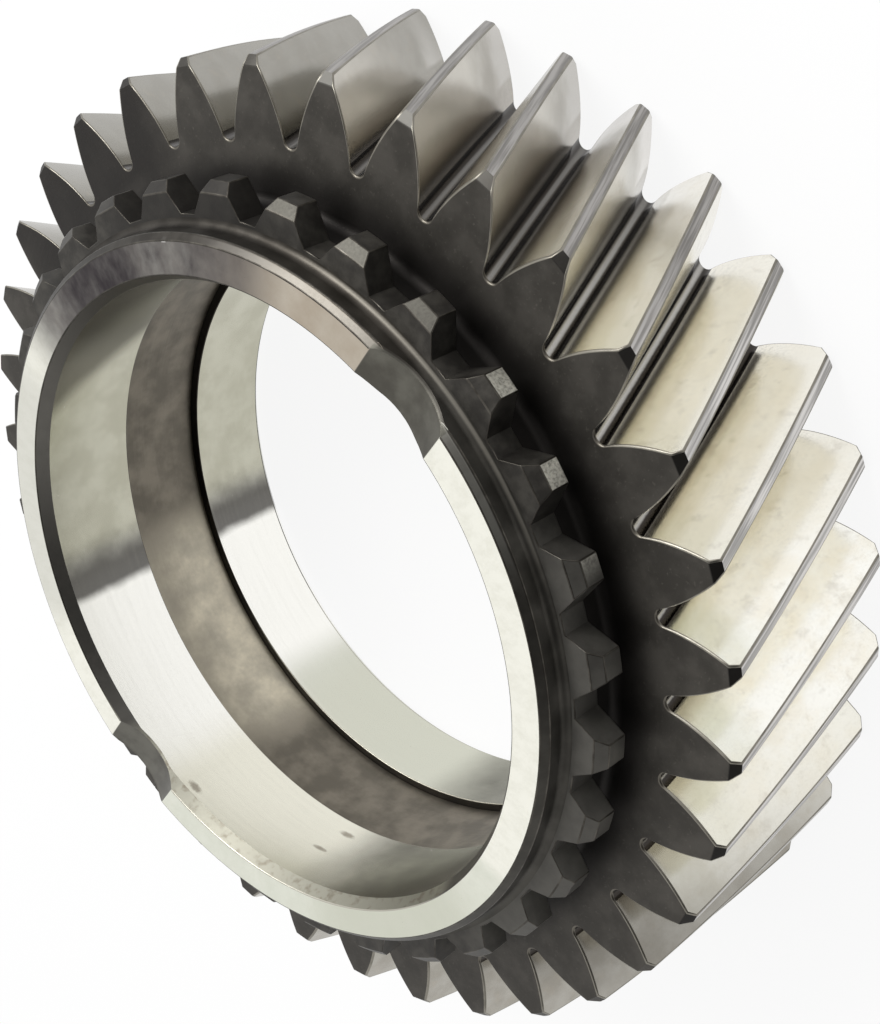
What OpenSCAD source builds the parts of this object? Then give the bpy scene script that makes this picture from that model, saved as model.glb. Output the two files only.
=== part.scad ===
// Transmission gear in one piece of steel. A helical gear carries a ring of dog clutch
// teeth and a plain collar on its front side, with one bore through all three.
// It lies on its back face. The axis is Z and the collar points up.
// All sizes are in millimetres and degrees.

/* [Helical teeth] */
// Number of helical teeth
gear_teeth = 34; // [30:1:38]
// Module of the teeth in the normal plane
normal_module = 4; // [3.8:0.05:4.3]
// Helix angle at the pitch circle, left hand
helix_angle = 24; // [12:0.5:28]
// Pressure angle in the normal plane
pressure_angle = 24; // [20:0.5:24.5]
// Height of a tooth outside the pitch circle, in modules
tip_factor = 1.0175; // [0.8:0.01:1.06]
// Depth of a tooth inside the pitch circle, in modules
root_factor = 1.885; // [1.6:0.005:1.95]
// Thickness of a tooth at the pitch circle, as a share of the pitch
thickness_share = 0.4425; // [0.4:0.0025:0.45]
// Width of the gear between its front and back face
gear_width = 36.5; // [28:0.5:60]
// Radial size of the chamfer at the ends of each tooth tip
tip_chamfer_r = 1.2; // [0.4:0.1:2]
// Axial size of the chamfer at the ends of each tooth tip
tip_chamfer_h = 1.1; // [0.4:0.1:2]

/* [Dog clutch ring] */
// Number of dog teeth
dog_teeth = 30; // [24:1:34]
// Diameter over the dog teeth
dog_tip_d = 126.7; // [124:0.1:128]
// Diameter at the floor of the gaps between the dog teeth
dog_root_d = 117.5; // [117.1:0.1:119]
// Width of the flat floor of a gap between two dog teeth
dog_gap_floor = 3; // [2:0.1:3.6]
// Angle between a dog tooth's flank and its centre line
dog_flank_angle = 30; // [24:1:32]
// Axial length of the dog teeth
dog_length = 4.9; // [3.5:0.1:12]
// Radial size of the chamfer on the front of the dog teeth
dog_chamfer_r = 1.55; // [0.5:0.05:2.2]
// Axial size of the chamfer on the front of the dog teeth
dog_chamfer_h = 1.45; // [0.5:0.05:2.2]
// Turn of a dog gap from the line of the collar's notches
dog_turn = -0.35; // [-6:0.05:6]
// Diameter of the neck between the gear and the dog teeth
neck_d = 116.8; // [113:0.1:117]
// Axial length of the neck
neck_length = 4; // [3:0.1:12]
// Radius of the fillet between the neck and the gear's front face
neck_fillet = 1.5; // [0.5:0.1:2.5]

/* [Collar] */
// Outside diameter of the collar
collar_d = 114; // [106:0.5:114.5]
// Height of the collar over the front of the dog teeth
collar_length = 4.1; // [3.5:0.1:20]
// Chamfer on the collar's outer edge
collar_chamfer = 1; // [0.3:0.1:1.5]
// Radius of the fillet between the collar and the dog teeth
collar_fillet = 1.2; // [0.5:0.1:1.3]
// Depth of the two round notches in the collar's rim
notch_depth = 2.3; // [1:0.1:3]
// Radius of the round notches
notch_r = 13.4; // [8:0.1:20]

/* [Bore] */
// Diameter of the two bearing lands in the bore
bore_d = 100; // [94:0.5:102]
// Diameter of the lead-in at the collar's rim
lead_in_d = 102.2; // [102.1:0.1:104]
// Depth of the lead-in
lead_in_h = 2.05; // [1:0.05:4]
// Diameter of the relief between the two lands
relief_d = 102.8; // [102.2:0.1:105]
// Height of the relief's lower end over the back face
relief_bottom = 15.4; // [8:0.1:20]
// Axial length of the relief
relief_length = 15.8; // [4:0.1:20]
// Chamfer of the bore at the back face
back_chamfer = 1.2; // [0.5:0.1:2]

/* [Turn of the teeth] */
// Turn of a helical tooth at the front face from the line of the collar's notches
gear_turn = -1.21; // [-5:0.01:5]

/* [Hidden] */
$fn = 180;

pitch_r = gear_teeth * normal_module / (2 * cos(helix_angle));
base_r = pitch_r * cos(atan(tan(pressure_angle) / cos(helix_angle)));
tip_r = pitch_r + tip_factor * normal_module;
root_r = pitch_r - root_factor * normal_module;
half_pitch_angle = 180 / gear_teeth;
// Degrees of helix turn for each millimetre of height
helix_rate = tan(helix_angle) / pitch_r * 180 / PI;

dog_bottom = gear_width + neck_length;
dog_top = dog_bottom + dog_length;
collar_top = dog_top + collar_length;
bore_r = bore_d / 2;
relief_top = relief_bottom + relief_length;

// How far a cutter runs past the face that it cuts
past = 1;
// Steps along a flank, round a root, along the helix and round a fillet
flank_steps = 4;
root_steps = 3;
helix_steps = 7;
fillet_steps = 4;
// Radius of the flat disc inside the toothed rim
disc_r = (bore_r + neck_d / 2) / 2;

// Angle between an involute's start on the base circle and its point at radius r
function involute_angle(r) = tan(acos(base_r / r)) * 180 / PI - acos(base_r / r);

// Half the angle that a tooth takes up at radius r
function tooth_half_angle(r) =
    half_pitch_angle * thickness_share + involute_angle(pitch_r) - involute_angle(r);

// A gap's root is one round arc that meets both flanks at radius r without a corner
function gap_half_angle(r) = half_pitch_angle - tooth_half_angle(r);
function gap_slope(r) = acos(base_r / r) + gap_half_angle(r);
function gap_arc_r(r) = r * sin(gap_half_angle(r)) / cos(gap_slope(r));
function gap_floor_r(r) =
    r * cos(gap_half_angle(r)) - gap_arc_r(r) * (1 - sin(gap_slope(r)));

// Radius at which the arc that reaches down to root_r meets the flanks, by halving
function flank_start(low, high, steps) =
    let (middle = (low + high) / 2)
    steps == 0 ? middle
    : gap_floor_r(middle) < root_r ? flank_start(middle, high, steps - 1)
    : flank_start(low, middle, steps - 1);

start_r = flank_start(base_r, pitch_r, 24);
arc_r = gap_arc_r(start_r);
edge_r = tip_r - tip_chamfer_r;

// One side of a tooth from its tip to the middle of the gap, as radius and angle
tooth_side = concat(
    [[tip_r, tooth_half_angle(tip_r)]],
    [for (i = [0:flank_steps])
        let (r = edge_r + (start_r - edge_r) * i / flank_steps)
        [r, tooth_half_angle(r)]],
    [for (i = [1:root_steps])
        let (a = (90 - gap_slope(start_r)) * (1 - i / root_steps))
        let (x = root_r + arc_r * (1 - cos(a)))
        let (y = arc_r * sin(a))
        [norm([x, y]), half_pitch_angle - atan2(y, x)]]
);
side_points = len(tooth_side);
// A whole tooth, from the middle of one gap up to the tip and down to the next gap
tooth = concat(
    [for (i = [side_points - 1:-1:0]) [tooth_side[i][0], -tooth_side[i][1]]],
    [for (i = [0:side_points - 2]) tooth_side[i]]
);
tooth_points = len(tooth);
ring_points = tooth_points * gear_teeth;

function turn_at(z) = gear_turn + helix_rate * (gear_width - z);

// The outline of all teeth at height z, cut off at radius limit
function ring(z, limit) =
    [for (t = [0:gear_teeth - 1])
        for (p = tooth)
            let (r = min(p[0], limit))
            let (a = 2 * half_pitch_angle * t + p[1] + turn_at(z))
            [r * cos(a), r * sin(a), z]];

// The corners of the disc inside the teeth, one in line with the middle of each gap
function disc(z) =
    [for (t = [0:gear_teeth - 1])
        let (a = half_pitch_angle * (2 * t - 1) + turn_at(z))
        [disc_r * cos(a), disc_r * sin(a), z]];

full_height = gear_width - 2 * tip_chamfer_h;
inner_heights = [for (i = [0:helix_steps]) tip_chamfer_h + full_height * i / helix_steps];
bands = helix_steps + 2;

function side_faces(band) =
    [for (i = [0:ring_points - 1])
        let (low = band * ring_points)
        let (high = low + ring_points)
        let (next = (i + 1) % ring_points)
        each [[low + i, high + i, high + next], [low + i, high + next, low + next]]];

// The end face of one tooth, from its outline in to the disc
function end_face(t, outline, corners) =
    concat(
        [for (i = [0:tooth_points]) outline + (t * tooth_points + i) % ring_points],
        [corners + (t + 1) % gear_teeth, corners + t]
    );

function reversed(list) = [for (i = [len(list) - 1:-1:0]) list[i]];

module toothed_disc() {
    low_disc = (bands + 1) * ring_points;
    high_disc = low_disc + gear_teeth;
    top_ring = bands * ring_points;
    polyhedron(
        points = concat(
            ring(0, edge_r),
            [for (z = inner_heights) each ring(z, tip_r)],
            ring(gear_width, edge_r),
            disc(0),
            disc(gear_width)
        ),
        faces = concat(
            [for (band = [0:bands - 1]) each side_faces(band)],
            [for (t = [0:gear_teeth - 1]) end_face(t, 0, low_disc)],
            [for (t = [0:gear_teeth - 1]) reversed(end_face(t, top_ring, high_disc))],
            [[for (i = [0:gear_teeth - 1]) low_disc + i]],
            [reversed([for (i = [0:gear_teeth - 1]) high_disc + i])]
        ),
        convexity = 10
    );
}

// Points of a hollow corner: the wall is at radius r and the floor at height z
function hollow_corner(r, z, size) =
    [for (i = [0:fillet_steps])
        let (a = 270 - 90 * i / fillet_steps)
        [r + size + size * cos(a), z + size + size * sin(a)]];

// Neck, dog ring and collar before the gaps between the dog teeth are cut
module clutch_blank() {
    rotate_extrude()
        polygon(concat(
            [[0, gear_width - neck_fillet]],
            [[neck_d / 2 + neck_fillet, gear_width - neck_fillet]],
            hollow_corner(neck_d / 2, gear_width, neck_fillet),
            [[neck_d / 2, dog_bottom]],
            [[dog_tip_d / 2, dog_bottom]],
            [[dog_tip_d / 2, dog_top - dog_chamfer_h]],
            [[dog_tip_d / 2 - dog_chamfer_r, dog_top]],
            hollow_corner(collar_d / 2, dog_top, collar_fillet),
            [[collar_d / 2, collar_top - collar_chamfer]],
            [[collar_d / 2 - collar_chamfer, collar_top]],
            [[0, collar_top]]
        ));
}

// The space between two dog teeth, with its middle along X
module dog_gap() {
    floor_x = sqrt(pow(dog_root_d / 2, 2) - pow(dog_gap_floor / 2, 2));
    depth = dog_tip_d / 2 - floor_x + past;
    spread = depth * tan(dog_flank_angle + 180 / dog_teeth);
    translate([floor_x, 0, dog_bottom - past])
        linear_extrude(height = dog_length + 2 * past)
            polygon([
                [0, -dog_gap_floor / 2],
                [depth, -dog_gap_floor / 2 - spread],
                [depth, dog_gap_floor / 2 + spread],
                [0, dog_gap_floor / 2]
            ]);
}

// Two round notches in the collar's rim, cut in one line across the axis
module notches() {
    translate([0, 0, collar_top - notch_depth + notch_r])
        rotate([0, 90, 0])
            cylinder(r = notch_r, h = collar_d + 2 * past, center = true);
}

// Everything that is open from the back face up through the collar's rim
module bore_space() {
    lead_slope = (lead_in_d - bore_d) / 2 / lead_in_h;
    rotate_extrude()
        polygon([
            [0, -past],
            [bore_r + back_chamfer + past, -past],
            [bore_r, back_chamfer],
            [bore_r, relief_bottom],
            [relief_d / 2, relief_bottom],
            [relief_d / 2, relief_top],
            [bore_r, relief_top],
            [bore_r, collar_top - lead_in_h],
            [lead_in_d / 2 + lead_slope * past, collar_top + past],
            [0, collar_top + past]
        ]);
}

module transmission_gear() {
    color([0.45, 0.44, 0.41])
        difference() {
            union() {
                toothed_disc();
                difference() {
                    clutch_blank();
                    for (i = [0:dog_teeth - 1])
                        rotate([0, 0, dog_turn + i * 360 / dog_teeth])
                            dog_gap();
                }
            }
            notches();
            bore_space();
        }
}

transmission_gear();
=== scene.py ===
import math

import bmesh
import bpy
from mathutils import Matrix, Vector


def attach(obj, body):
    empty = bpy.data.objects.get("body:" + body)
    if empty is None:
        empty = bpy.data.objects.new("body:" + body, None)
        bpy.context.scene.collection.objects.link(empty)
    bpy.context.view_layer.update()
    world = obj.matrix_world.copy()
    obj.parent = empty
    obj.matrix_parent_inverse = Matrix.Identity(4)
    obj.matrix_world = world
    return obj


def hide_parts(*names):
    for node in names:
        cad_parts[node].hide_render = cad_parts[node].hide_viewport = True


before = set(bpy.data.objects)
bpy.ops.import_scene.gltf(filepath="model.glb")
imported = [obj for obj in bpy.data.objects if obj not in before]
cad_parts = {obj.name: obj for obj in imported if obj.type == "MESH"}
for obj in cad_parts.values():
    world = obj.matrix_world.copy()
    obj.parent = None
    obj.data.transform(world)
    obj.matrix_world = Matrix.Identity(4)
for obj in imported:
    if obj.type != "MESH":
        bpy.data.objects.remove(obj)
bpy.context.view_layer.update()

# Camera. The gear lies on its back face and is seen from about 40 degrees above the floor, past the
# collar, with the camera rolled so that the gear's axis runs to the lower left of the picture.
camera = bpy.data.objects.new("camera", bpy.data.cameras.new("camera"))
camera.data.sensor_width = 36
camera.data.lens = 63.79
camera.data.shift_x = -0.0135
camera.data.shift_y = 0.0988
camera.data.clip_start = 0.01
stands_at = (0.21771, -0.06168, 0.20377)
looking = Vector((-0.7519, 0.15655, -0.64042)).normalized()
picture_up = Vector((0.49341, 0.77789, -0.38914))
picture_right = looking.cross(picture_up).normalized()
camera.matrix_world = Matrix.Translation(stands_at) @ Matrix(
    (picture_right, picture_right.cross(looking), -looking)).transposed().to_4x4()
bpy.context.scene.collection.objects.link(camera)
bpy.context.scene.camera = camera


# Helical rim. 34 left-hand teeth of module 4, hobbed into the forged blank, case-hardened and ground
# on their flanks only, so the root floors and the turned end faces keep the dark hardened skin. One
# tooth's outline is repeated round the blank and swept along the helix.
MM = 0.001
TEETH, MODULE, HELIX, PRESSURE_ANGLE = 34, 4.0, math.radians(24), math.radians(24)
TOOTH_SHARE, TOOTH_TURN = 0.4425, math.radians(-1.21)
RIM_WIDTH, CHAMFER_HIGH = 36.5, 1.1
TIP_R, EDGE_R, ROOT_R, RIM_INNER_R = 78.5, 77.3, 66.9, 66.2
HALF_PITCH = math.pi / TEETH
PITCH_R = TEETH * MODULE / (2 * math.cos(HELIX))
BASE_R = PITCH_R * math.cos(math.atan(math.tan(PRESSURE_ANGLE) / math.cos(HELIX)))
TURN_PER_MM = math.tan(HELIX) / PITCH_R
ROOT_STEPS, FLANK_STEPS, HELIX_STEPS = 8, 10, 18
SLACK_MM, SAME_SPOT = 0.01, 1e-7
FLANK, ROOT, TIP_LAND, TURNED, DOG, COLLAR, BORE, RELIEF, LEAD_IN, EDGE = range(10)


def involute(r):
    return math.tan(math.acos(BASE_R / r)) - math.acos(BASE_R / r)


def tooth_half_angle(r):
    return HALF_PITCH * TOOTH_SHARE + involute(PITCH_R) - involute(r)


def root_round(r):
    """The hob's round root that meets both flanks at radius r: its own radius, its sweep, its floor."""
    gap = HALF_PITCH - tooth_half_angle(r)
    slope = math.acos(BASE_R / r) + gap
    round_r = r * math.sin(gap) / math.cos(slope)
    return round_r, math.pi / 2 - slope, r * math.cos(gap) - round_r * (1 - math.sin(slope))


flank_start, above = BASE_R, PITCH_R
for halving in range(30):
    middle = (flank_start + above) / 2
    if root_round(middle)[2] < ROOT_R:
        flank_start = middle
    else:
        above = middle
round_r, round_sweep, floor_r = root_round(flank_start)

tooth_side = []
for step in range(ROOT_STEPS + 1):
    turn = round_sweep * step / ROOT_STEPS
    across, out = round_r * math.sin(turn), floor_r + round_r * (1 - math.cos(turn))
    tooth_side.append((math.hypot(out, across), HALF_PITCH - math.atan2(across, out)))
for step in range(1, FLANK_STEPS + 1):
    r = flank_start + (EDGE_R - flank_start) * step / FLANK_STEPS
    tooth_side.append((r, tooth_half_angle(r)))
tooth_side.append((TIP_R, tooth_half_angle(TIP_R)))
tooth_land = [(TIP_R, tooth_half_angle(TIP_R) * share) for share in (0.34, -0.34)]
tooth_outline = tooth_side + tooth_land + [(r, -turn) for r, turn in reversed(tooth_side)]


def place(r, turn, z):
    return Vector((r * math.cos(turn) * MM, r * math.sin(turn) * MM, z * MM))


def ring_of(outline, repeats, start, z, layer):
    """Draws one tooth's outline, turns copies of it round the axis until it closes, and returns the
    edges. Each corner keeps its number in the outline."""
    corners = [gear.verts.new(place(r, start + turn, z)) for r, turn in outline]
    for number, corner in enumerate(corners):
        corner[layer] = number
    edges = [gear.edges.new(pair) for pair in zip(corners, corners[1:])]
    bmesh.ops.spin(gear, geom=corners + edges, axis=(0, 0, 1), steps=repeats - 1, use_duplicate=True,
                   angle=-2 * math.pi * (repeats - 1) / repeats)
    loose = [corner for corner in gear.verts if not corner.link_faces]
    bmesh.ops.remove_doubles(gear, verts=loose, dist=SAME_SPOT)
    return [edge for edge in gear.edges if edge.is_wire]


def carry_on(edges, finish, move):
    """Extrudes a closed row of edges, sends each new corner where move says, and returns the new row."""
    made = bmesh.ops.extrude_edge_only(gear, edges=edges)["geom"]
    corners = [part for part in made if isinstance(part, bmesh.types.BMVert)]
    for face in made:
        if isinstance(face, bmesh.types.BMFace):
            face.material_index = finish
    for corner in corners:
        r, turn = math.hypot(corner.co.x, corner.co.y) / MM, math.atan2(corner.co.y, corner.co.x)
        corner.co = place(*move(corner, r, turn, corner.co.z / MM))
    bmesh.ops.remove_doubles(gear, verts=corners, dist=SAME_SPOT)
    corners = {corner for corner in corners if corner.is_valid}
    return [edge for edge in gear.edges if edge.is_boundary and corners.issuperset(edge.verts)]


def fill_between(edges, finish):
    """Closes the flat ring between two rows of one height."""
    for face in bmesh.ops.triangle_fill(gear, use_beauty=True, use_dissolve=False, edges=edges)["geom"]:
        if isinstance(face, bmesh.types.BMFace):
            face.material_index = finish


def to_circle(r, z):
    return lambda corner, old_r, turn, old_z: (r, turn, z)


def to_rim_end(z_end):
    """The flanks follow the helix to an end face, and the tips come in by their turned chamfer."""
    def move(corner, r, turn, z):
        outline_r, off_middle = tooth_outline[corner[rim_corner]]
        turn += TURN_PER_MM * (z - z_end)
        if outline_r == TIP_R:
            r = EDGE_R
            turn += off_middle * (tooth_half_angle(EDGE_R) / tooth_half_angle(TIP_R) - 1)
        return r, turn, z_end
    return move


class Reading:
    """What one socket gives. Sums written with it add the nodes that work them out."""

    def __init__(self, shading, socket):
        self.shading, self.socket = shading, socket

    def __add__(self, other):
        return self.shading.of("ADD", self, other)

    def __sub__(self, other):
        return self.shading.of("SUBTRACT", self, other)

    def __rsub__(self, other):
        return self.shading.of("SUBTRACT", other, self)

    def __mul__(self, other):
        return self.shading.of("MULTIPLY", self, other)

    def __truediv__(self, other):
        return self.shading.of("DIVIDE", self, other)

    def __pow__(self, other):
        return self.shading.of("POWER", self, other)

    __radd__, __rmul__ = __add__, __mul__


class Shading:
    """The nodes of one material, or of the surroundings."""

    def __init__(self, tree):
        self.tree = tree

    def node(self, kind, settings, inputs, output=0):
        made = self.tree.nodes.new(kind)
        for name, value in settings.items():
            setattr(made, name, value)
        for name, value in inputs.items():
            self.join(value, made.inputs[name])
        return Reading(self, made.outputs[output])

    def join(self, value, socket):
        if isinstance(value, Reading):
            self.tree.links.new(value.socket, socket)
        else:
            socket.default_value = value

    def of(self, operation, first, second=0.0):
        return self.node("ShaderNodeMath", {"operation": operation}, {0: first, 1: second})

    def rise(self, value, low, high, least=0.0, most=1.0):
        """Goes smoothly from least to most as the value goes from low to high; low may be the larger."""
        return self.node("ShaderNodeMapRange", {"interpolation_type": "SMOOTHSTEP"}, {
            "Value": value, "From Min": low, "From Max": high, "To Min": least, "To Max": most})


finishes = {}


class Finish(Shading):
    """One finish of the steel, by the place on the gear in millimetres."""

    def __init__(self, number, name, metallic):
        finishes[number] = bpy.data.materials.new(name)
        finishes[number].use_nodes = True
        super().__init__(finishes[number].node_tree)
        self.set("Metallic", metallic)
        at = self.node("ShaderNodeTexCoord", {}, {}, "Object")
        self.mm = self.node("ShaderNodeVectorMath", {"operation": "SCALE"}, {"Vector": at, "Scale": 1 / MM})
        self.x, self.y, self.z = (
            self.node("ShaderNodeSeparateXYZ", {}, {0: self.mm}, axis) for axis in "XYZ")
        self.r = (self.x * self.x + self.y * self.y) ** 0.5
        self.turn = self.of("ARCTAN2", self.y, self.x)

    def set(self, name, value):
        self.join(value, self.tree.nodes["Principled BSDF"].inputs[name])

    def degrees(self):
        return self.turn * math.degrees(1)

    def near(self, value, middle, half, soft):
        return self.rise(self.of("ABSOLUTE", value - middle), half + soft, half)

    def around(self, middle, half, soft):
        """A sector of the gear, from its middle, half width and soft border in degrees."""
        middle = math.radians(middle)
        towards = (self.x * math.cos(middle) + self.y * math.sin(middle)) / self.r
        return self.rise(towards, math.cos(math.radians(half + soft)), math.cos(math.radians(half)))

    def mottle(self, size, detail, where=None):
        """Cloudy noise from 0 to 1, with blots of about the size given in millimetres."""
        return self.node("ShaderNodeTexNoise", {}, {
            "Vector": where or self.mm, "Scale": 1 / size, "Detail": detail, "Roughness": 0.55}, "Fac")

    def drawn_out(self, detail, along, across, high=0.0):
        """Noise whose place has each axis shrunk or stretched, for marks longer one way."""
        place_there = self.node("ShaderNodeCombineXYZ", {}, {"X": along, "Y": across, "Z": high})
        return self.mottle(1, detail, place_there)

    def tooth_grain(self, fine, outwards, lengthwise):
        """Marks that the grinding or hobbing leaves along the helical teeth."""
        tooth_line = self.turn + self.z * TURN_PER_MM
        return self.drawn_out(4, tooth_line * fine, self.r * outwards, self.z * lengthwise)

    def tint(self, share, colour, other):
        """Mixes a share of the other colour into the first."""
        colour, other = (value if isinstance(value, Reading) else (*value, 1) for value in (colour, other))
        return self.node("ShaderNodeMix", {"data_type": "RGBA"}, {
            "Factor": share, "A": colour, "B": other}, "Result")

    def layers(self, colour, *stains):
        """Lays stains over a colour, each given as its share and its own colour."""
        for share, stain in stains:
            colour = self.tint(share, colour, stain)
        return colour

    def pit(self, height, deep_mm):
        """Roughens the surface by a height from 0 to 1 that stands for this many millimetres."""
        self.set("Normal", self.node("ShaderNodeBump", {}, {
            "Height": height, "Distance": deep_mm * MM, "Strength": 1}))


gear = bmesh.new()
rim_corner = gear.verts.layers.int.new("rim_corner")
swept_width = RIM_WIDTH - 2 * CHAMFER_HIGH
rim_back = ring_of(tooth_outline, TEETH, TOOTH_TURN + TURN_PER_MM * (RIM_WIDTH - CHAMFER_HIGH),
                   CHAMFER_HIGH, rim_corner)
swept = bmesh.ops.spin(gear, geom=rim_back, axis=(0, 0, 1), steps=HELIX_STEPS,
                       angle=-TURN_PER_MM * swept_width, dvec=(0, 0, swept_width / HELIX_STEPS * MM))
rim_front = [edge for edge in swept["geom_last"] if isinstance(edge, bmesh.types.BMEdge)]
for face in gear.faces:
    corner_r = [math.hypot(*corner.co.xy) / MM for corner in face.verts]
    if min(corner_r) > TIP_R - SLACK_MM:
        face.material_index = TIP_LAND
    elif max(corner_r) < flank_start + SLACK_MM:
        face.material_index = ROOT
rim_front = carry_on(rim_front, FLANK, to_rim_end(RIM_WIDTH))
rim_back = carry_on(rim_back, FLANK, to_rim_end(0))
for face in {face for edge in rim_front + rim_back for face in edge.link_faces}:
    corner_r = sorted(math.hypot(*corner.co.xy) / MM for corner in face.verts)
    if corner_r[-2] > TIP_R - SLACK_MM:
        face.material_index = TURNED
    elif corner_r[-1] < flank_start + SLACK_MM:
        face.material_index = ROOT
rim_front = carry_on(rim_front, TURNED, to_circle(RIM_INNER_R, RIM_WIDTH))
rim_back = carry_on(rim_back, TURNED, to_circle(RIM_INNER_R, 0))

ground = Finish(FLANK, "ground_flank", 1.0)
blots, fine = ground.mottle(5, 5), ground.mottle(0.45, 4)
grain = ground.tooth_grain(60, 1.4, 0.07)
# Most flanks are dull grey with a brown film low down. Painted light makes them paler in front at 18
# degrees, a painted highlight pales their far ends, and painted shade darkens them at 67 degrees.
painted_light = ground.around(18, 12, 8) * ground.rise(ground.z, 8, 18)
brown = ground.rise(ground.r + blots * 5, 76, 71.5) * ground.rise(ground.z, 36, 26)
brown = brown * ground.around(12, 30, 14)
painted_far_end_highlight = ground.around(12, 22, 8) * ground.rise(ground.z + blots * 3, 10, 5)
painted_far_end_highlight = painted_far_end_highlight * ground.rise(ground.r + blots, 71.6, 72.4)
dull = ground.layers(
    ground.tint(ground.rise(blots, 0.3, 0.7), (0.44, 0.425, 0.385), (0.34, 0.32, 0.28)),
    (painted_light, ground.tint(blots, (0.64, 0.615, 0.55), (0.49, 0.465, 0.42))),
    (brown * 0.35, (0.36, 0.32, 0.29)),
    (ground.around(67, 27, 10) * 0.7, (0.29, 0.28, 0.25)),
    (painted_far_end_highlight * 0.8, ground.tint(ground.around(22, 7, 6), (0.78, 0.755, 0.725), (0.54, 0.52, 0.49))))
# The flanks at -62 to -6 degrees carry a painted highlight: bright ivory with tan blots, a greenish front
# end and slightly darker sectors, and painted shade towards the root at -62 degrees.
painted_shade_near_root = ground.around(-62, 16, 10) * ground.rise(ground.r + blots * 3, 74.5, 70.5)
bright = ground.layers(
    ground.tint(ground.rise(blots, 0.35, 0.7) * 0.6, (1.0, 0.99, 0.93), (0.91, 0.85, 0.71)),
    (ground.rise(ground.z + blots * 6, 31, 37) * 0.5, (0.72, 0.73, 0.62)),
    (ground.around(-17, 12, 10) * 0.7, (0.86, 0.83, 0.74)),
    (ground.around(-66, 5, 7) * 0.45, (0.80, 0.77, 0.66)),
    (painted_shade_near_root * 0.8, (0.76, 0.73, 0.64)))
ground.set("Base Color", ground.layers(
    ground.tint(ground.around(-34, 28, 17), dull, bright),
    (ground.rise(ground.mottle(2.6, 5), 0.54, 0.75) * 0.25, (0.42, 0.37, 0.30)),
    (ground.rise(fine + grain * 0.5, 0.7, 1.0) * (0.1 + brown * 0.3), (0.50, 0.48, 0.42))))
ground.set("Roughness", 0.17 + fine * 0.06 + grain * 0.04)
ground.pit(grain, 0.003)

root = Finish(ROOT, "root_floor", 1.0)
grain, speck = root.tooth_grain(60, 1.3, 0.08), root.mottle(0.5, 3)
# The bright line in the middle of the root floor is a painted highlight, stronger at -35 degrees.
painted_root_highlight = root.rise(root.r + speck * 0.1, ROOT_R + 0.22, ROOT_R + 0.04) * (0.35 + grain * 0.4 + speck * 0.4)
painted_root_highlight = painted_root_highlight * (0.2 + root.around(-35, 25, 20) * 0.6)
root.set("Base Color", root.tint(painted_root_highlight, (0.045, 0.040, 0.036), (0.66, 0.64, 0.60)))
root.set("Roughness", 0.14 + grain * 0.14)
root.pit(grain, 0.015)

land = Finish(TIP_LAND, "tip_land", 1.0)
# Painted light makes the tip lands paler at -45 degrees.
grain, painted_light = land.tooth_grain(260, 1, 0.09), land.around(-45, 22, 18)
valleys = land.tint(painted_light, (0.20, 0.19, 0.18), (0.34, 0.33, 0.32))
ridges = land.tint(painted_light, (0.40, 0.385, 0.37), (0.72, 0.70, 0.68))
land.set("Base Color", land.tint(land.rise(grain, 0.35, 0.65), valleys, ridges))
land.set("Roughness", 0.3 + grain * 0.2)
land.pit(grain, 0.02)

turned = Finish(TURNED, "hardened_face", 0.75)
cloud, speck = turned.mottle(5, 4), turned.mottle(0.55, 2)
rings = turned.drawn_out(2, turned.r * 2.2, turned.turn * 0.8, turned.z * 0.02)
painted_shade_under_dogs = turned.rise(turned.r, 66.5, 61) * turned.rise(turned.z, 20, 30)
tip_chamfer = turned.rise(turned.r, EDGE_R - 0.3, EDGE_R)
# Painted shade darkens the face under the dogs and at 78 degrees; the tip chamfers carry painted shade at
# -40 degrees and a painted highlight at 25.
turned.set("Base Color", turned.layers(
    turned.tint(turned.rise(cloud, 0.35, 0.68), (0.046, 0.042, 0.036), (0.074, 0.068, 0.059)),
    (turned.rise(speck, 0.6, 0.8) * 0.35, (0.14, 0.13, 0.11)),
    (painted_shade_under_dogs * 0.85, (0.014, 0.012, 0.011)),
    (tip_chamfer * turned.around(-40, 35, 12) * 0.9, (0.008, 0.007, 0.006)),
    (tip_chamfer * turned.around(25, 10, 8) * 0.8, (0.17, 0.165, 0.15)),
    (turned.around(78, 14, 10) * turned.rise(turned.r, 62, 66) * 0.75, (0.012, 0.010, 0.009))))
turned.set("Roughness", 0.46 + cloud * 0.12)
turned.pit(rings * 0.5 + speck * 0.5, 0.03)


# Dog ring. 30 clutch teeth cut through a flange in front of the rim, with their outer corners turned
# off and a groove behind them in which the cutter ran out. It keeps the dark hardened skin.
DOGS, DOG_TURN = 30, math.radians(-0.35)
DOG_LOW, DOG_CHAMFER_AT, DOG_TOP = 40.5, 43.95, 45.4
DOG_TIP_R, DOG_EDGE_R, DOG_MIDDLE_R, DOG_FLOOR_R = 63.35, 61.8, 60.3, 58.75
GAP_FLOOR_HALF, GAP_SLANT = 1.5, math.tan(math.radians(30 + 180 / DOGS))
NECK_R, NECK_ROUND = 58.4, 1.5
QUARTER_TURN = [math.radians(degrees) for degrees in (0, 18, 36, 54, 72, 90)]


def dog_gap_corner(r):
    """A point of the gap's straight side at radius r, as a turn away from the dog's middle."""
    low = GAP_FLOOR_HALF - math.sqrt(DOG_FLOOR_R ** 2 - GAP_FLOOR_HALF ** 2) * GAP_SLANT
    along = math.sqrt(r * r * (1 + GAP_SLANT ** 2) - low ** 2) - low * GAP_SLANT
    along /= 1 + GAP_SLANT ** 2
    return r, math.pi / DOGS - math.atan2(low + along * GAP_SLANT, along)


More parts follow.
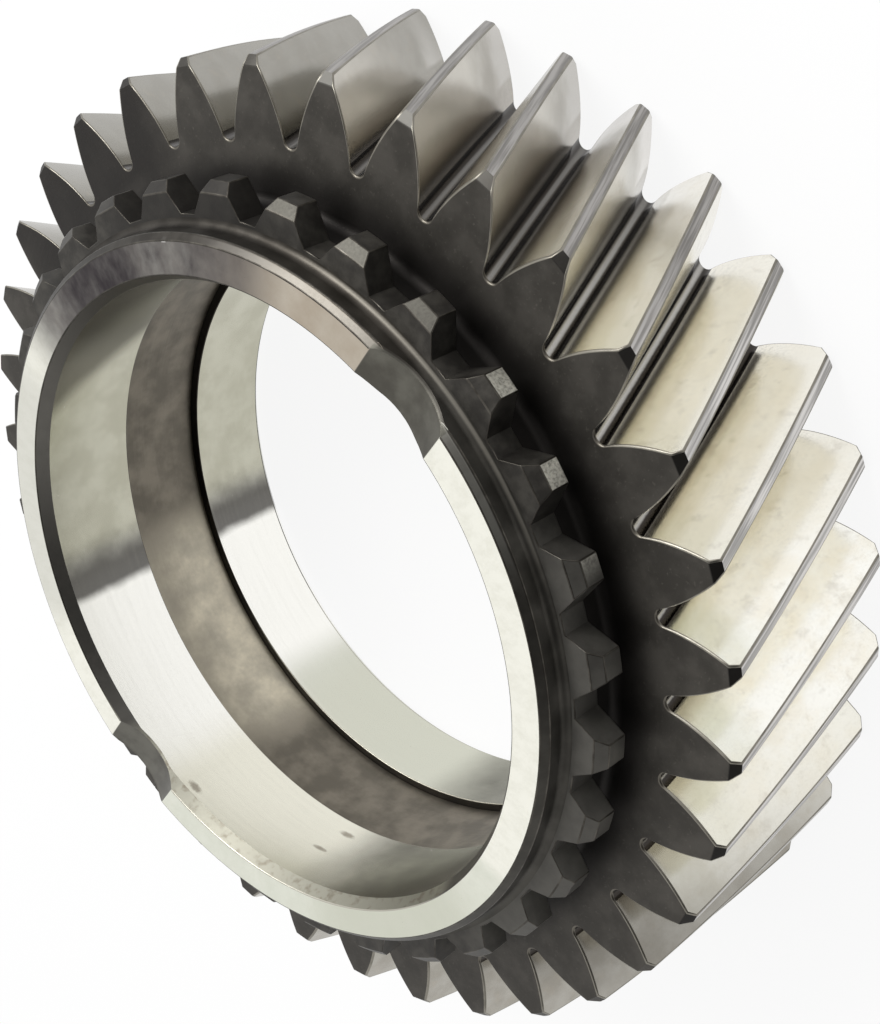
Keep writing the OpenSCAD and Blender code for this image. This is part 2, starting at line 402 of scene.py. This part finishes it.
dog_side = [(DOG_FLOOR_R, math.pi / DOGS)] + [
    dog_gap_corner(r) for r in (DOG_FLOOR_R, DOG_MIDDLE_R, DOG_EDGE_R, DOG_TIP_R)]
dog_land = [(DOG_TIP_R, dog_side[-1][1] * share) for share in (0.5, 0, -0.5)]
dog_outline = dog_side + dog_land + [(r, -turn) for r, turn in reversed(dog_side)]


def to_dog_top(corner, r, turn, z):
    """The dogs' ends come in to a cone that was turned before the gaps were cut."""
    outline_r, off_middle = dog_outline[corner[dog_corner]]
    if outline_r == DOG_TIP_R:
        r = DOG_EDGE_R
        turn += off_middle * (dog_gap_corner(DOG_EDGE_R)[1] / dog_gap_corner(DOG_TIP_R)[1] - 1)
    return r, turn, DOG_TOP


dog_corner = gear.verts.layers.int.new("dog_corner")
dog_back = ring_of(dog_outline, DOGS, DOG_TURN + math.pi / DOGS, DOG_LOW, dog_corner)
dog_front = carry_on(dog_back, DOG, lambda corner, r, turn, z: (r, turn, DOG_CHAMFER_AT))
dog_front = carry_on(dog_front, DOG, to_dog_top)
neck = carry_on(dog_back, DOG, to_circle(NECK_R, DOG_LOW))
for turn in QUARTER_TURN:
    neck = carry_on(neck, TURNED, to_circle(NECK_R + NECK_ROUND * (1 - math.cos(turn)),
                                            RIM_WIDTH + NECK_ROUND * (1 - math.sin(turn))))
fill_between(neck + rim_front, TURNED)

dog = Finish(DOG, "dog_skin", 0.75)
cloud, speck = dog.mottle(3, 4), dog.mottle(0.45, 3)
speckle = dog.rise(speck + cloud * 0.5, 0.45, 0.95)
in_cone_part = dog.rise(dog.z, DOG_CHAMFER_AT - 0.1, DOG_CHAMFER_AT + 0.1)
cone_slope = (DOG_TIP_R - DOG_EDGE_R) / (DOG_TOP - DOG_CHAMFER_AT)
off_cone = dog.r - DOG_TIP_R + (dog.z - DOG_CHAMFER_AT) * cone_slope
cone = dog.rise(off_cone, -0.14, -0.04) * in_cone_part
lands = dog.rise(dog.r, DOG_TIP_R - 0.16, DOG_TIP_R - 0.06) * (1 - in_cone_part)
# Painted light makes the dogs paler at -62 degrees and painted shade darker at 48; the cone at 17 degrees
# and the lands at -15 carry speckled painted highlights.
dog.set("Base Color", dog.layers(
    dog.tint(dog.rise(cloud, 0.35, 0.7), (0.036, 0.033, 0.029), (0.072, 0.067, 0.058)),
    (dog.around(-62, 30, 14) * (0.35 + cloud * 0.6), (0.115, 0.110, 0.098)),
    (dog.around(48, 13, 8) * 0.7, (0.020, 0.018, 0.016)),
    (cone * dog.around(17, 14, 6) * (0.55 + speckle * 0.45), (0.105, 0.100, 0.085)),
    (lands * dog.around(-15, 11, 6) * (0.3 + speckle * 0.7), (0.56, 0.545, 0.475))))
dog.set("Roughness", 0.42 + cloud * 0.15)
dog.pit(speck * 0.6 + cloud * 0.4, 0.03)


# Collar. A thin ring in front of the dogs whose end face is ground flat, with two shallow curved
# notches across it on opposite sides that let oil through or locate a thrust washer.
COLLAR_TOP, COLLAR_R, COLLAR_CHAMFER, COLLAR_ROUND = 49.5, 57.0, 1.0, 1.2
NOTCH_DEEP, NOTCH_R = 2.3, 13.4
LEAD_IN_R, LEAD_IN_HIGH, BORE_R, CROWN_LOW = 51.1, 2.05, 50.0, 46
CHAMFER_R, CHAMFER_Z = COLLAR_R - COLLAR_CHAMFER, COLLAR_TOP - COLLAR_CHAMFER
notch_half = math.sqrt(NOTCH_R ** 2 - (NOTCH_R - NOTCH_DEEP) ** 2)

collar = dog_front
for turn in QUARTER_TURN:
    collar = carry_on(collar, COLLAR if turn else DOG, to_circle(
        COLLAR_R + COLLAR_ROUND * (1 - math.sin(turn)), DOG_TOP + COLLAR_ROUND * (1 - math.cos(turn))))
for r, z, finish in ((COLLAR_R, CHAMFER_Z, COLLAR), (CHAMFER_R, COLLAR_TOP, COLLAR),
                     (LEAD_IN_R, COLLAR_TOP, COLLAR), (BORE_R, COLLAR_TOP - LEAD_IN_HIGH, LEAD_IN),
                     (BORE_R, CROWN_LOW, BORE)):
    collar = carry_on(collar, finish, to_circle(r, z))

ring = Finish(COLLAR, "lapped_collar", 1.0)
cloud, fine = ring.mottle(5, 5), ring.mottle(0.5, 4)
radial = ring.drawn_out(4, ring.turn * 30, ring.r * 0.3)
clouded = ring.rise(cloud, 0.35, 0.7)
# The ground face is ivory and tan at 22 degrees. Painted reflections darken it to purple at 60 degrees and
# near black at 68, and turn it greenish grey from -177 to -83 degrees and grey at 124. The chamfer, the
# wall and the notches keep the dark skin, apart from a painted highlight on the lip and another on the
# fillet.
purple = ring.tint(ring.rise(cloud + radial * 0.4, 0.5, 0.85), (0.070, 0.061, 0.062), (0.15, 0.137, 0.128))
nick = ring.near(ring.degrees(), 49, 0.3, 0.3) * ring.near(ring.r, CHAMFER_R + 0.1, 0.2, 0.25)
below_face = ring.rise(ring.z, COLLAR_TOP - 0.02, COLLAR_TOP - 0.1)
above_wall = ring.rise(ring.z, CHAMFER_Z - 0.05, CHAMFER_Z + 0.05)
chamfer = ring.rise(ring.r, CHAMFER_R - 0.02, CHAMFER_R + 0.1) * below_face * above_wall
lip = ring.rise(ring.r, COLLAR_R - 0.15, COLLAR_R - 0.3) * below_face * ring.around(8, 16, 22)
wall = ring.rise(ring.r, CHAMFER_R - 0.1, CHAMFER_R + 0.3) * (1 - above_wall)
dark = ring.of("MAXIMUM", chamfer * (1 - lip * 0.5), wall)
crest = ring.near(ring.r, COLLAR_R + 0.65, 0.1, 0.3) * ring.around(-2, 14, 18) * ring.rise(ring.z, 47, 46.5)
notch = ring.rise(ring.of("ABSOLUTE", ring.y), notch_half + 0.15, notch_half - 0.1)
notch = notch * ring.rise(ring.z, COLLAR_TOP - 0.04, COLLAR_TOP - 0.14)
notch = notch * ring.rise(ring.r, COLLAR_R - 0.1, COLLAR_R - 0.4)
ring.set("Base Color", ring.layers(
    ring.tint(ring.rise(radial + fine * 0.4, 0.55, 0.95) * 0.4, (0.94, 0.93, 0.84), (0.74, 0.73, 0.63)),
    (ring.around(-130, 47, 4) * (0.3 + cloud * 0.5), (0.62, 0.65, 0.55)),
    (ring.around(-112, 12, 14) * 0.75, (0.60, 0.61, 0.51)),
    (ring.around(124, 20, 10) * 0.5, (0.56, 0.56, 0.51)),
    (ring.around(22, 12, 14) * (0.6 + cloud * 0.4), (0.37, 0.30, 0.225)),
    (ring.around(60, 22, 16) * (0.75 + radial * 0.35), purple),
    (ring.around(68, 6, 8) * (0.4 + radial * 0.8), (0.030, 0.024, 0.028)),
    (nick * 0.8, (0.95, 0.93, 0.9)),
    (dark * 0.97, ring.tint(clouded, (0.030, 0.027, 0.023), (0.058, 0.053, 0.046))),
    (lip * 0.8, (0.135, 0.128, 0.115)),
    (crest * 0.42, (0.30, 0.28, 0.24)),
    (notch, ring.tint(clouded, (0.085, 0.08, 0.068), (0.14, 0.135, 0.115)))))
ring.set("Roughness", 0.22 + fine * 0.1 + cloud * 0.06 + dark * 0.18)
ring.pit(radial * 0.5 + fine * 0.5, 0.008)

lead_in = Finish(LEAD_IN, "lead_in_skin", 0.9)
cloud = lead_in.mottle(1.6, 5)
# Painted light makes the lead-in paler at -140 and -30 degrees.
light = lead_in.around(-140, 42, 6) + lead_in.around(-30, 30, 20) * 0.6
pale = lead_in.tint(lead_in.rise(cloud, 0.48, 0.7) * 0.6, (0.37, 0.36, 0.30), (0.15, 0.12, 0.085))
lead_in.set("Base Color", lead_in.tint(light, (0.130, 0.124, 0.112), pale))
lead_in.set("Roughness", 0.3 + cloud * 0.2)


# Bore. Two ground lands that the needle bearings run on, with a shallow rough-turned oil relief
# between them and a chamfer at the back.
RELIEF_R, RELIEF_TOP, RELIEF_LOW, BACK_CHAMFER = 51.4, 31.2, 15.4, 1.2

bore = collar
for r, z, finish in ((BORE_R, RELIEF_TOP, BORE), (RELIEF_R, RELIEF_TOP, RELIEF),
                     (RELIEF_R, RELIEF_LOW, RELIEF), (BORE_R, RELIEF_LOW, RELIEF),
                     (BORE_R, BACK_CHAMFER, BORE), (BORE_R + BACK_CHAMFER, 0, BORE)):
    bore = carry_on(bore, finish, to_circle(r, z))
fill_between(bore + rim_back, TURNED)

honed = Finish(BORE, "honed_bore", 1.0)
cloud, fine = honed.mottle(7, 5), honed.mottle(0.5, 4)
hoops = honed.drawn_out(4, honed.turn * 4, honed.z * 1.3)
# Painted shade in a dark patch and in a part that ends aslant on the front land, and three small stain
# marks, each with its turn in degrees, its height, and half its length and its width in millimetres.
STAIN_MARKS = ((-169.2, 46.2, 1.7, 0.8), (-141.4, 39.9, 1.8, 0.5), (-140.3, 34.4, 1.8, 0.7))
degrees = honed.degrees()
painted_dark_patch = honed.rise(degrees + cloud * 4, 137, 145) * honed.rise(degrees + cloud * 2, 149.5, 147)
aslant = degrees - (honed.z - 31) * 0.86 + cloud * 4
shaded = honed.rise(aslant, 97, 90) * honed.rise(honed.turn, -0.2, 0.3) * honed.rise(honed.z, 29, 32)
# Painted highlights make the bore pale at 188 degrees and white at 163; painted light makes it greenish grey
# low down at -152, and painted shade darkens it at -112.
steel = honed.layers(
    honed.tint(honed.rise(cloud, 0.35, 0.65), (0.54, 0.53, 0.435), (0.46, 0.45, 0.36)),
    (honed.around(188, 39, 7), (0.86, 0.84, 0.73)),
    (honed.around(163, 14, 12), (1.0, 0.99, 0.94)),
    (painted_dark_patch * 0.9, (0.07, 0.065, 0.06)),
    (honed.around(-152, 24, 10) * honed.rise(honed.z, 18, 14) * 0.8, (0.60, 0.61, 0.52)),
    (honed.around(-112, 14, 16) * (0.5 + cloud * 0.6), (0.14, 0.135, 0.11)),
    (shaded * 0.85, (0.115, 0.108, 0.085)))
for middle, high, long, wide in STAIN_MARKS:
    aside, up = (degrees - middle) * (BORE_R * math.radians(1) / long), (honed.z - high) / wide
    stain = honed.rise(aside * aside + up * up + fine * 1.2, 1.8, 0.6)
    steel = honed.tint(stain * 0.7, steel, (0.20, 0.165, 0.12))
steel = honed.tint(honed.rise(hoops + fine * 0.4, 0.6, 1.0) * 0.06, steel, (0.50, 0.49, 0.42))
honed.set("Base Color", steel)
honed.set("Roughness", 0.22 + fine * 0.04 + hoops * 0.04)
honed.pit(hoops, 0.001)

rough = Finish(RELIEF, "relief_skin", 0.9)
cloud, fine = rough.mottle(5, 4), rough.mottle(0.8, 3)
hoops = rough.drawn_out(3, rough.turn * 2, rough.z * 2.6)
tan = rough.tint(rough.rise(cloud, 0.2, 0.8), (0.80, 0.73, 0.58), (0.46, 0.425, 0.35))
# Painted light makes the relief tan at 165 degrees, and painted shade darkens its low edge.
painted_light_on_relief = rough.around(165, 13, 16) * rough.rise(rough.z + cloud * 6, 33, 24, 0.5, 1.0) * (0.75 + fine * 0.25)
rough.set("Base Color", rough.layers(
    rough.tint(rough.rise(cloud, 0.35, 0.7), (0.15, 0.135, 0.11), (0.24, 0.215, 0.175)),
    (painted_light_on_relief, tan),
    (rough.rise(rough.z, RELIEF_LOW + 0.2, RELIEF_LOW + 0.05) * 0.95, (0.022, 0.020, 0.018))))
rough.set("Roughness", 0.38 + hoops * 0.15)
rough.pit(hoops * 0.7 + fine * 0.3, 0.03)


# Notches. A round cutter of 13.4 mm radius, passed straight across the collar's end face, leaves a
# shallow trough on each side. The crown, cut at the troughs' borders, is bent down to them, so that
# the chamfers run on through.
LEAST_CHAMFER = 0.4
for y in (notch_half, -notch_half):
    crown = [face for face in gear.faces
             if all(corner.co.z > (CROWN_LOW - 0.1) * MM for corner in face.verts)]
    parts = dict.fromkeys(part for face in crown for part in (*face.verts, *face.edges, face))
    bmesh.ops.bisect_plane(gear, geom=list(parts), dist=0.35 * MM, use_snap_center=True,
                           plane_co=(0, y * MM, 0), plane_no=(0, 1, 0))
for corner in gear.verts:
    x, y, z = corner.co / MM
    r = math.hypot(x, y)
    if z < COLLAR_TOP - NOTCH_DEEP or abs(y) > notch_half + 0.001:
        continue
    top = min(COLLAR_TOP, COLLAR_TOP - NOTCH_DEEP + NOTCH_R - math.sqrt(NOTCH_R ** 2 - y ** 2))
    wall_top = min(CHAMFER_Z, top - LEAST_CHAMFER)
    lead_in_at = min(COLLAR_TOP - LEAD_IN_HIGH, top - LEAST_CHAMFER)
    if r > COLLAR_R - 0.1:
        z = wall_top
    elif r > CHAMFER_R - 0.1:
        r, z = COLLAR_R - (top - wall_top), top
    elif r > LEAD_IN_R - 0.1:
        r, z = BORE_R + (top - lead_in_at) * (LEAD_IN_R - BORE_R) / LEAD_IN_HIGH, top
    else:
        z = lead_in_at
    corner.co = Vector((math.copysign(math.sqrt(r * r - y * y), x), y, z)) * MM


# Edge break. The corners were tumbled after the teeth were cut and are worn bright on the helical teeth,
# so each sharp outer corner is rounded, a little more where the flanks and root floors meet the faces.
SHARP = math.radians(22)
bmesh.ops.recalc_face_normals(gear, faces=gear.faces)
edge_break = gear.edges.layers.float.new("bevel_weight_edge")
for edge in gear.edges:
    turn = edge.calc_face_angle_signed()
    sides = {face.material_index for face in edge.link_faces}
    in_notch = all(corner.co.z > (CROWN_LOW + 0.5) * MM and abs(corner.co.y) < (notch_half + 0.4) * MM
                   for corner in edge.verts)
    if turn < SHARP or in_notch or sides in ({TURNED}, {TURNED, TIP_LAND}, {LEAD_IN, BORE}):
        edge.smooth = abs(turn) < SHARP
    else:
        edge[edge_break] = 1 if sides in ({FLANK, TURNED}, {ROOT, TURNED}) else 0.5
for face in gear.faces:
    face.smooth = True

worn = Finish(EDGE, "worn_edge_with_painted_light", 1.0)
wear, speck = worn.mottle(2.5, 4), worn.mottle(0.6, 3)
on_teeth = worn.layers(
    worn.tint(wear, (0.13, 0.12, 0.10), (0.34, 0.32, 0.275)),
    (worn.rise(worn.r, 68.4, 67.4) * 0.75, (0.10, 0.09, 0.075)))
# On the collar, painted light makes the rounded edges by the bore pale at -145 degrees.
on_collar = worn.layers(
    worn.tint(worn.rise(wear + speck * 0.2, 0.4, 0.9), (0.045, 0.041, 0.035), (0.11, 0.102, 0.088)),
    (worn.rise(worn.r, 52, 51.5) * worn.around(-145, 38, 15) * 0.85, (0.52, 0.50, 0.43)))
worn.set("Base Color", worn.tint(worn.rise(worn.r, 65, 66), on_collar, on_teeth))
worn.set("Roughness", 0.42 - wear * 0.1)

gear_mesh = bpy.data.meshes.new("gear")
gear.to_mesh(gear_mesh)
gear.free()
gear_object = bpy.data.objects.new("gear", gear_mesh)
bpy.context.scene.collection.objects.link(gear_object)
rounding = gear_object.modifiers.new("edge_break", "BEVEL")
rounding.limit_method = "WEIGHT"
rounding.width = 0.3 * MM
rounding.segments = 2
rounding.profile = 0.5
rounding.use_clamp_overlap = False
rounding.harden_normals = True
rounding.material = EDGE
for number in sorted(finishes):
    gear_mesh.materials.append(finishes[number])

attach(gear_object, "root")
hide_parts("transmission_gear")


# Stage. A pale floor, a bright even surround that is dark only behind the camera, and one soft lamp
# above the picture's upper left that shades the teeth and the bore.
FLOOR_HALF = 3
floor_mesh = bpy.data.meshes.new("floor")
sheet = bmesh.new()
bmesh.ops.create_grid(sheet, x_segments=1, y_segments=1, size=FLOOR_HALF)
sheet.to_mesh(floor_mesh)
sheet.free()
floor = bpy.data.objects.new("floor", floor_mesh)
bpy.context.scene.collection.objects.link(floor)
paper = bpy.data.materials.new("floor_paper")
paper.use_nodes = True
sheet_shading = Shading(paper.node_tree)
paper_shader = paper.node_tree.nodes["Principled BSDF"]
for name, value in {"Base Color": (0.9, 0.9, 0.9, 1), "Roughness": 1, "Specular IOR Level": 0}.items():
    sheet_shading.join(value, paper_shader.inputs[name])
to_camera, in_gloss, in_glass = (sheet_shading.node("ShaderNodeLightPath", {}, {}, ray) for ray in (
    "Is Camera Ray", "Is Glossy Ray", "Is Transmission Ray"))
mirrored = sheet_shading.of("MAXIMUM", in_gloss, in_glass)
looked_at = sheet_shading.of("MAXIMUM", to_camera * 0.9, mirrored * 0.96)
white = sheet_shading.node("ShaderNodeEmission", {}, {"Strength": 1})
sheet_shading.join(sheet_shading.node("ShaderNodeMixShader", {}, {
    0: looked_at, 1: Reading(sheet_shading, paper_shader.outputs[0]), 2: white}),
    paper.node_tree.nodes["Material Output"].inputs["Surface"])
floor_mesh.materials.append(paper)


def towards(degrees, high):
    """The direction to a point of the surround, from its turn and its height in degrees."""
    turn, high = math.radians(degrees), math.radians(high)
    return Vector((math.cos(turn) * math.cos(high), math.sin(turn) * math.cos(high), math.sin(high)))


studio = bpy.data.worlds.new("studio")
studio.use_nodes = True
surround = Shading(studio.node_tree)
background = studio.node_tree.nodes["Background"]
direction = surround.node("ShaderNodeTexCoord", {}, {}, "Generated")
off_dark = surround.node("ShaderNodeVectorMath", {"operation": "DOT_PRODUCT"}, {
    0: direction, 1: towards(-48, 45)}, "Value")
strength = surround.rise(off_dark, math.cos(math.radians(50)), math.cos(math.radians(28)), 0.95, 0.06)
surround.join((1, 1, 1, 1), background.inputs["Color"])
surround.join(strength, background.inputs["Strength"])
bpy.context.scene.world = studio

lamp = bpy.data.objects.new("softbox", bpy.data.lights.new("softbox", "AREA"))
lamp.data.shape = "RECTANGLE"
lamp.data.size, lamp.data.size_y = 0.7, 0.5
lamp.data.energy = 9
lamp.location = towards(66, 42) * 1.1
lamp.rotation_euler = (-Vector(lamp.location)).to_track_quat("-Z", "Y").to_euler()
bpy.context.scene.collection.objects.link(lamp)
bpy.context.scene.view_settings.view_transform = "Standard"
